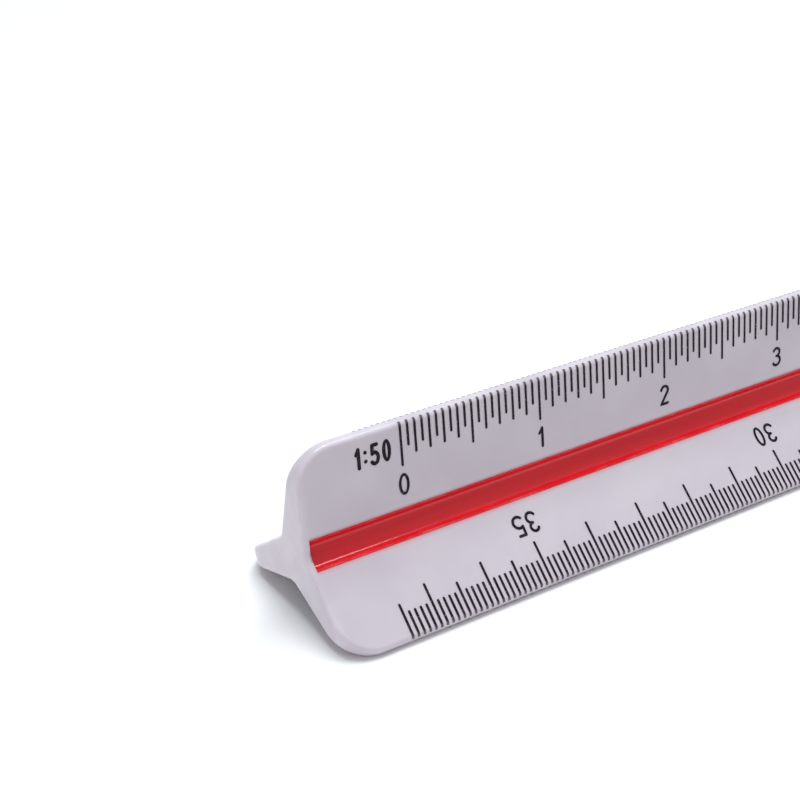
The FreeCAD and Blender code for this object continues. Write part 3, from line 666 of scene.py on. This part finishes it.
def makeInk(settings):
    material = bpy.data.materials.new("printedInk")
    material.use_nodes = True
    nodes, links = material.node_tree.nodes, material.node_tree.links
    nodes.clear()

    placeFrame = nodes.new("NodeFrame")
    placeFrame.label = "reach along a blade"
    inkFrame = nodes.new("NodeFrame")
    inkFrame.label = "density of the ink"
    thinFrame = nodes.new("NodeFrame")
    thinFrame.label = "thin over the edges"
    surfaceFrame = nodes.new("NodeFrame")
    surfaceFrame.label = "ink surface"

    coords = nodes.new("ShaderNodeTexCoord")
    coords.label = "place on the ruler"
    fromCentre = nodes.new("ShaderNodeMapping")
    fromCentre.label = "place from the centre line"
    upperReach = nodes.new("ShaderNodeVectorMath")
    upperReach.label = "reach along the upper blade"
    frontReach = nodes.new("ShaderNodeVectorMath")
    frontReach.label = "reach along the front blade"
    backReach = nodes.new("ShaderNodeVectorMath")
    backReach.label = "reach along the back blade"
    twoReaches = nodes.new("ShaderNodeMath")
    twoReaches.label = "further of two blades"
    bladeReach = nodes.new("ShaderNodeMath")
    bladeReach.label = "reach along any blade"
    mottle = nodes.new("ShaderNodeTexNoise")
    mottle.label = "uneven inking"
    density = nodes.new("ShaderNodeValToRGB")
    density.label = "dense to sparse"
    speckle = nodes.new("ShaderNodeTexNoise")
    speckle.label = "pin holes"
    speckleContrast = nodes.new("ShaderNodeMapRange")
    speckleContrast.label = "few holes"
    wrap = nodes.new("ShaderNodeMapRange")
    wrap.label = "carried over the edge"
    wrapThin = nodes.new("ShaderNodeMath")
    wrapThin.label = "thinned over the edge"
    thin = nodes.new("ShaderNodeMath")
    thin.label = "thin or pricked"
    thinColour = nodes.new("ShaderNodeMix")
    thinColour.label = "plastic through the ink"
    gloss = nodes.new("ShaderNodeMapRange")
    gloss.label = "satin ink"
    relief = nodes.new("ShaderNodeBump")
    relief.label = "grain of the ink"
    shader = nodes.new("ShaderNodeBsdfPrincipled")
    shader.label = "ink"
    output = nodes.new("ShaderNodeOutputMaterial")
    output.label = "printed surface"

    layOut((
        (placeFrame, 0, 600, ((coords, fromCentre), (upperReach, twoReaches, bladeReach),
                              (frontReach, backReach))),
        (inkFrame, 900, 600, ((mottle, density), (speckle, speckleContrast))),
        (thinFrame, 900, -200, ((wrap, wrapThin, thin, thinColour),)),
        (surfaceFrame, 900, -700, ((gloss, relief),)),
        (None, 2000, 0, ((shader, output),)),
    ))

    fromCentre.inputs["Location"].default_value = -centre
    upperReach.operation = "DOT_PRODUCT"
    upperReach.inputs[1].default_value = outward(0)
    frontReach.operation = "DOT_PRODUCT"
    frontReach.inputs[1].default_value = outward(bladeTurn)
    backReach.operation = "DOT_PRODUCT"
    backReach.inputs[1].default_value = outward(2 * bladeTurn)
    twoReaches.operation = "MAXIMUM"
    bladeReach.operation = "MAXIMUM"
    mottle.inputs["Scale"].default_value = settings["mottleScale"]
    mottle.inputs["Detail"].default_value = 4
    density.color_ramp.elements[0].position = settings["denseUpTo"]
    density.color_ramp.elements[0].color = settings["dense"]
    density.color_ramp.elements[1].position = settings["sparseFrom"]
    density.color_ramp.elements[1].color = settings["sparse"]
    speckle.inputs["Scale"].default_value = settings["speckleScale"]
    speckle.inputs["Detail"].default_value = 1
    speckleContrast.inputs["From Min"].default_value = settings["holesFrom"]
    speckleContrast.inputs["From Max"].default_value = settings["holesFull"]
    wrap.interpolation_type = "SMOOTHSTEP"
    wrap.inputs["From Min"].default_value = sectionSizes["tipReach"] - settings["wrapDepth"]
    wrap.inputs["From Max"].default_value = sectionSizes["tipReach"]
    wrapThin.operation = "MULTIPLY"
    wrapThin.inputs[1].default_value = settings["wrapThinning"]
    thin.operation = "MAXIMUM"
    thinColour.data_type = "RGBA"
    thinColour.inputs["B"].default_value = settings["throughInk"]
    gloss.inputs["From Min"].default_value = settings["leastMottled"]
    gloss.inputs["From Max"].default_value = settings["mostMottled"]
    gloss.inputs["To Min"].default_value = settings["glossiest"]
    gloss.inputs["To Max"].default_value = settings["dullest"]
    relief.inputs["Strength"].default_value = 1
    relief.inputs["Distance"].default_value = settings["reliefHeight"]
    shader.inputs["IOR"].default_value = settings["ior"]
    shader.inputs["Specular IOR Level"].default_value = settings["specular"]

    links.new(coords.outputs["Object"], fromCentre.inputs["Vector"])
    links.new(fromCentre.outputs["Vector"], upperReach.inputs[0])
    links.new(fromCentre.outputs["Vector"], frontReach.inputs[0])
    links.new(fromCentre.outputs["Vector"], backReach.inputs[0])
    links.new(upperReach.outputs["Value"], twoReaches.inputs[0])
    links.new(frontReach.outputs["Value"], twoReaches.inputs[1])
    links.new(twoReaches.outputs["Value"], bladeReach.inputs[0])
    links.new(backReach.outputs["Value"], bladeReach.inputs[1])
    links.new(coords.outputs["Object"], mottle.inputs["Vector"])
    links.new(mottle.outputs["Fac"], density.inputs["Fac"])
    links.new(coords.outputs["Object"], speckle.inputs["Vector"])
    links.new(speckle.outputs["Fac"], speckleContrast.inputs["Value"])
    links.new(bladeReach.outputs["Value"], wrap.inputs["Value"])
    links.new(wrap.outputs["Result"], wrapThin.inputs[0])
    links.new(wrapThin.outputs["Value"], thin.inputs[0])
    links.new(speckleContrast.outputs["Result"], thin.inputs[1])
    links.new(thin.outputs["Value"], thinColour.inputs["Factor"])
    links.new(density.outputs["Color"], thinColour.inputs["A"])
    links.new(thinColour.outputs["Result"], shader.inputs["Base Color"])
    links.new(mottle.outputs["Fac"], gloss.inputs["Value"])
    links.new(gloss.outputs["Result"], shader.inputs["Roughness"])
    links.new(speckle.outputs["Fac"], relief.inputs["Height"])
    links.new(relief.outputs["Normal"], shader.inputs["Normal"])
    links.new(shader.outputs["BSDF"], output.inputs["Surface"])
    return material


whitePlastic = makeWhitePlastic(plasticSettings)
redLacquer = makeLacquer("redLacquer", redShades, frontGroove, lacquerSettings)
tealLacquer = makeLacquer("tealLacquer", tealShades, lowerGroove, lacquerSettings)
printedInk = makeInk(inkSettings)
print("materials made")

bodySettings = {
    "cornerRadius": 0.0048,  # the blades' corners, seen from the side
    "edgeRadius": 0.00055,
    "cornerSegments": 14,
    "grooveSegments": 10,
    "valleySegments": 6,
    "edgeSegments": 6,
    "sharpAngle": 45,  # degrees, and so is the next
    "flatAngle": 1,
}
liningSettings = {
    "thickness": 0.0002,
    "lipRounding": 0.00005,
    "floorSegments": 10,
    "lipSegments": 2,
    "sharpAngle": 60,
}
mergeDistance = 0.000001


def chain(bm, places):
    points = [bm.verts.new(place) for place in places]
    for first, second in zip(points, points[1:]):
        bm.edges.new((first, second))


def roundEdges(bm, edges, offset, segments):
    bmesh.ops.bevel(bm, geom=edges, offset=offset, offset_type="OFFSET", affect="EDGES",
                    segments=segments, profile=0.5, material=-1)


# distance from the ruler's centre line
def reach(vert):
    return (vert.co - centre).yz.length


def roundPoints(bm, distance, offset, segments):
    points = [vert for vert in bm.verts if abs(reach(vert) - distance) < mergeDistance]
    bmesh.ops.bevel(bm, geom=points, offset=offset, offset_type="OFFSET", affect="VERTICES",
                    segments=segments, profile=0.5, material=-1)


# edges parallel to the ruler, at one distance from its centre line
def edgesAlong(bm, distance, shortest):
    found = []
    for edge in bm.edges:
        first, second = edge.verts
        isAlong = abs(first.co.x - second.co.x) > shortest - mergeDistance
        if isAlong and all(abs(reach(vert) - distance) < mergeDistance for vert in edge.verts):
            found.append(edge)
    return found


# true for an edge of a blade or of an end face
def isOutside(edge, depth):
    middle = (edge.verts[0].co + edge.verts[1].co) / 2
    isEnd = abs(middle.x) > rulerLength / 2 - depth
    return isEnd or all(reach(vert) > bladeStart for vert in edge.verts)


def sharpEdges(bm, angle):
    return [edge for edge in bm.edges if edge.calc_face_angle(0) > radians(angle)]


def pointsOf(geometry):
    return [item for item in geometry if isinstance(item, bmesh.types.BMVert)]


# half of the ruler is raised from its end face: all of it as far as the grooves'
# end walls, then all but the grooves to the middle, where it is mirrored
def makeBody(settings):
    tipReach, tipHalf = sectionSizes["tipReach"], sectionSizes["tipWidth"] / 2
    floor, grooveHalf = sectionSizes["grooveFloor"], sectionSizes["grooveWidth"] / 2
    endWall, flatAngle = sectionSizes["grooveEndWall"], radians(settings["flatAngle"])
    bm = bmesh.new()
    # a third of the section, from the middle of one blade's tip to the middle of the next
    chain(bm, (
        endPoint(0, tipReach, 0),
        endPoint(0, tipReach, tipHalf),
        endPoint(frontGroove, rimReach, -grooveHalf),
        endPoint(frontGroove, floor, -grooveHalf),
        endPoint(frontGroove, floor, grooveHalf),
        endPoint(frontGroove, rimReach, grooveHalf),
        endPoint(bladeTurn, tipReach, -tipHalf),
        endPoint(bladeTurn, tipReach, 0),
    ))
    bmesh.ops.spin(bm, geom=bm.verts[:] + bm.edges[:], cent=centre, axis=(1, 0, 0),
                   angle=2 * bladeTurn, steps=2, use_duplicate=True)
    bmesh.ops.remove_doubles(bm, verts=bm.verts[:], dist=mergeDistance)
    bmesh.ops.contextual_create(bm, geom=bm.edges[:])
    straight = [vert for vert in bm.verts if vert.calc_edge_angle() < flatAngle]
    bmesh.ops.dissolve_verts(bm, verts=straight)
    floorLine, rimLine = Vector((floor, grooveHalf)).length, Vector((rimReach, grooveHalf)).length
    roundPoints(bm, floorLine, sectionSizes["floorRadius"], settings["grooveSegments"])
    roundPoints(bm, rimLine, rimRun, settings["grooveSegments"])
    # the flanks run on to meet in a valley over each groove's end wall
    grooveEdges = [edge for edge in bm.edges if all(reach(vert) < bladeStart for vert in edge.verts)]
    mouths = [vert for edge in grooveEdges for vert in edge.verts
              if any(other not in grooveEdges for other in vert.link_edges)]
    valleys = [bm.verts.new(endPoint(frontGroove + turn, valleyReach, 0))
               for turn in (0, bladeTurn, -bladeTurn)]
    for mouth in mouths:
        valley = min(valleys, key=lambda point: (point.co - mouth.co).length)
        grooveEdges.append(bm.edges.new((mouth, valley)))
    bmesh.ops.edgenet_fill(bm, edges=grooveEdges)
    raised = bmesh.ops.extrude_face_region(bm, geom=bm.faces[:], use_keep_orig=True)["geom"]
    bmesh.ops.translate(bm, verts=pointsOf(raised), vec=(endWall, 0, 0))
    inner = max((item for item in raised if isinstance(item, bmesh.types.BMFace)),
                key=lambda face: face.calc_area())
    middle = bmesh.ops.extrude_edge_only(bm, edges=inner.edges[:])["geom"]
    bmesh.ops.translate(bm, verts=pointsOf(middle), vec=(rulerLength / 2 - endWall, 0, 0))
    bmesh.ops.delete(bm, geom=[inner], context="FACES_ONLY")
    bmesh.ops.mirror(bm, geom=bm.verts[:] + bm.edges[:] + bm.faces[:], axis="X", merge_dist=mergeDistance)
    bmesh.ops.recalc_face_normals(bm, faces=bm.faces[:])
    bmesh.ops.dissolve_limit(bm, angle_limit=flatAngle, verts=bm.verts[:], edges=bm.edges[:])
    print("body before rounding:", len(bm.verts), "points,", len(bm.faces), "faces")

    valleyEdges = edgesAlong(bm, valleyReach, endWall)
    roundEdges(bm, valleyEdges, sectionSizes["valleyRadius"] * tan(slope), settings["valleySegments"])
    tipLine = Vector((tipReach, tipHalf)).length - mergeDistance
    corners = [edge for edge in bm.edges if edge.calc_length() < 2 * tipReach
               and all(reach(vert) > tipLine for vert in edge.verts)]
    roundEdges(bm, corners, settings["cornerRadius"], settings["cornerSegments"])
    outer = [edge for edge in sharpEdges(bm, settings["sharpAngle"]) if isOutside(edge, endWall / 2)]
    easing = settings["edgeRadius"] * tan(radians(45) - lean / 2)
    roundEdges(bm, outer, easing, settings["edgeSegments"])
    print("body:", len(bm.faces), "faces, volume in ml", round(bm.calc_volume(signed=True) * 1e6, 2))
    return finishPiece(bm, "rulerBody", whitePlastic, "ruler_body")


# thin coloured coat over the walls and floor of one groove
def makeLining(name, turn, material, node, settings):
    floor, grooveHalf = sectionSizes["grooveFloor"], sectionSizes["grooveWidth"] / 2
    mouth, start = rimReach - rimRun, -rulerLength / 2 + sectionSizes["grooveEndWall"]
    bm = bmesh.new()
    chain(bm, (
        endPoint(turn, mouth, -grooveHalf, start),
        endPoint(turn, floor, -grooveHalf, start),
        endPoint(turn, floor, grooveHalf, start),
        endPoint(turn, mouth, grooveHalf, start),
    ))
    farEnd = bmesh.ops.extrude_edge_only(bm, edges=bm.edges[:])["geom"]
    bmesh.ops.translate(bm, verts=pointsOf(farEnd), vec=(-2 * start, 0, 0))
    floorEdges = edgesAlong(bm, Vector((floor, grooveHalf)).length, rulerLength / 2)
    roundEdges(bm, floorEdges, sectionSizes["floorRadius"], settings["floorSegments"])
    bmesh.ops.solidify(bm, geom=bm.faces[:], thickness=settings["thickness"])
    roundEdges(bm, sharpEdges(bm, settings["sharpAngle"]), settings["lipRounding"], settings["lipSegments"])
    print(name + ":", len(bm.faces), "faces, volume in ml", round(bm.calc_volume(signed=True) * 1e6, 3))
    return finishPiece(bm, name, material, node)


makeBody(bodySettings)
makeLining("redLining", frontGroove, redLacquer, "red_groove_lining", liningSettings)
makeLining("tealLining", lowerGroove, tealLacquer, "teal_groove_lining", liningSettings)
print("body and linings made")

# the printing keeps its own mesh and is given ink
for name, node in cadNodes.items():
    if not name.endswith(("body", "lining")):
        node.data.materials.clear()
        node.data.materials.append(printedInk)
print("printing inked")

floorSettings = {"halfSize": 3, "pale": (0.90, 0.90, 0.905, 1), "shaded": (0.86, 0.86, 0.87, 1),
                 "mottleScale": 9, "roughness": 0.6, "toothScale": 900, "toothHeight": 0.00002}


def makeFloorCard(settings):
    material = bpy.data.materials.new("paleCard")
    material.use_nodes = True
    nodes, links = material.node_tree.nodes, material.node_tree.links
    nodes.clear()

    cardFrame = nodes.new("NodeFrame")
    cardFrame.label = "pale card"
    coords = nodes.new("ShaderNodeTexCoord")
    coords.label = "place on the card"
    mottle = nodes.new("ShaderNodeTexNoise")
    mottle.label = "faint mottle"
    shade = nodes.new("ShaderNodeMix")
    shade.label = "pale to faintly shaded"
    tooth = nodes.new("ShaderNodeTexNoise")
    tooth.label = "tooth of the card"
    relief = nodes.new("ShaderNodeBump")
    relief.label = "card surface"
    shader = nodes.new("ShaderNodeBsdfPrincipled")
    shader.label = "card"
    output = nodes.new("ShaderNodeOutputMaterial")
    output.label = "floor surface"
    layOut(((cardFrame, 0, 300, ((coords, mottle, shade, shader, output), (tooth, relief))),))

    mottle.inputs["Scale"].default_value = settings["mottleScale"]
    shade.data_type = "RGBA"
    shade.inputs["A"].default_value = settings["pale"]
    shade.inputs["B"].default_value = settings["shaded"]
    tooth.inputs["Scale"].default_value = settings["toothScale"]
    relief.inputs["Distance"].default_value = settings["toothHeight"]
    shader.inputs["Roughness"].default_value = settings["roughness"]
    links.new(coords.outputs["Object"], mottle.inputs["Vector"])
    links.new(mottle.outputs["Fac"], shade.inputs["Factor"])
    links.new(shade.outputs["Result"], shader.inputs["Base Color"])
    links.new(coords.outputs["Object"], tooth.inputs["Vector"])
    links.new(tooth.outputs["Fac"], relief.inputs["Height"])
    links.new(relief.outputs["Normal"], shader.inputs["Normal"])
    links.new(shader.outputs["BSDF"], output.inputs["Surface"])
    return material


def makeFloor(settings):
    bm = bmesh.new()
    bmesh.ops.create_grid(bm, x_segments=1, y_segments=1, size=settings["halfSize"])
    mesh = bpy.data.meshes.new("floorCard")
    bm.to_mesh(mesh)
    bm.free()
    mesh.materials.append(makeFloorCard(settings))
    floor = bpy.data.objects.new("floorCard", mesh)
    bpy.context.scene.collection.objects.link(floor)


makeFloor(floorSettings)
print("floor laid")

# places in metres, sizes in metres, power in watts
lightSettings = {
    "topSoftbox": {"place": (-0.05, 0.10, 0.70), "target": (-0.05, 0, 0), "size": (0.5, 0.35),
                   "power": 4.4, "colour": (0.90, 0.975, 1)},
    "leftSoftbox": {"place": (-0.80, -0.30, 0.35), "target": (0, 0, 0), "size": (0.6, 0.5),
                    "power": 0.4, "colour": (1, 0.95, 0.97)},
}
surroundSettings = {"colour": (0.95, 0.93, 0.97, 1), "strength": 0.54}


def addSoftbox(name, settings):
    data = bpy.data.lights.new(name, "AREA")
    data.shape = "RECTANGLE"
    data.size, data.size_y = settings["size"]
    data.energy = settings["power"]
    data.color = settings["colour"]
    light = bpy.data.objects.new(name, data)
    bpy.context.scene.collection.objects.link(light)
    direction = Vector(settings["target"]) - Vector(settings["place"])
    turn = direction.to_track_quat("-Z", "Y").to_matrix().to_4x4()
    light.matrix_world = Matrix.Translation(settings["place"]) @ turn


def makeSurround(settings):
    world = bpy.data.worlds.new("studio")
    world.use_nodes = True
    bpy.context.scene.world = world
    background = world.node_tree.nodes["Background"]
    background.label = "soft surround"
    background.inputs["Color"].default_value = settings["colour"]
    background.inputs["Strength"].default_value = settings["strength"]


for name, settings in lightSettings.items():
    addSoftbox(name, settings)
makeSurround(surroundSettings)
bpy.context.scene.view_settings.view_transform = "Standard"
print("lights set")

# place in metres, turns in degrees, lens in millimetres
cameraSettings = {"place": (-0.23223, -0.12779, 0.11201), "yaw": 33.764, "pitch": 29.714,
                  "roll": 1.083, "lens": 70.01, "sensor": 36, "nearest": 0.005}


def placeCamera(settings):
    yaw, pitch, roll = (radians(settings[key]) for key in ("yaw", "pitch", "roll"))
    forward = Vector((sin(yaw) * cos(pitch), cos(yaw) * cos(pitch), -sin(pitch)))
    level = Vector((cos(yaw), -sin(yaw), 0))
    upright = level.cross(forward)
    right = cos(roll) * level + sin(roll) * upright
    up = cos(roll) * upright - sin(roll) * level
    data = bpy.data.cameras.new("camera")
    data.lens = settings["lens"]
    data.sensor_width = settings["sensor"]
    data.clip_start = settings["nearest"]
    camera = bpy.data.objects.new("camera", data)
    bpy.context.scene.collection.objects.link(camera)
    turn = Matrix((right, up, -forward)).transposed().to_4x4()
    camera.matrix_world = Matrix.Translation(settings["place"]) @ turn
    bpy.context.scene.camera = camera


placeCamera(cameraSettings)
print("camera placed")
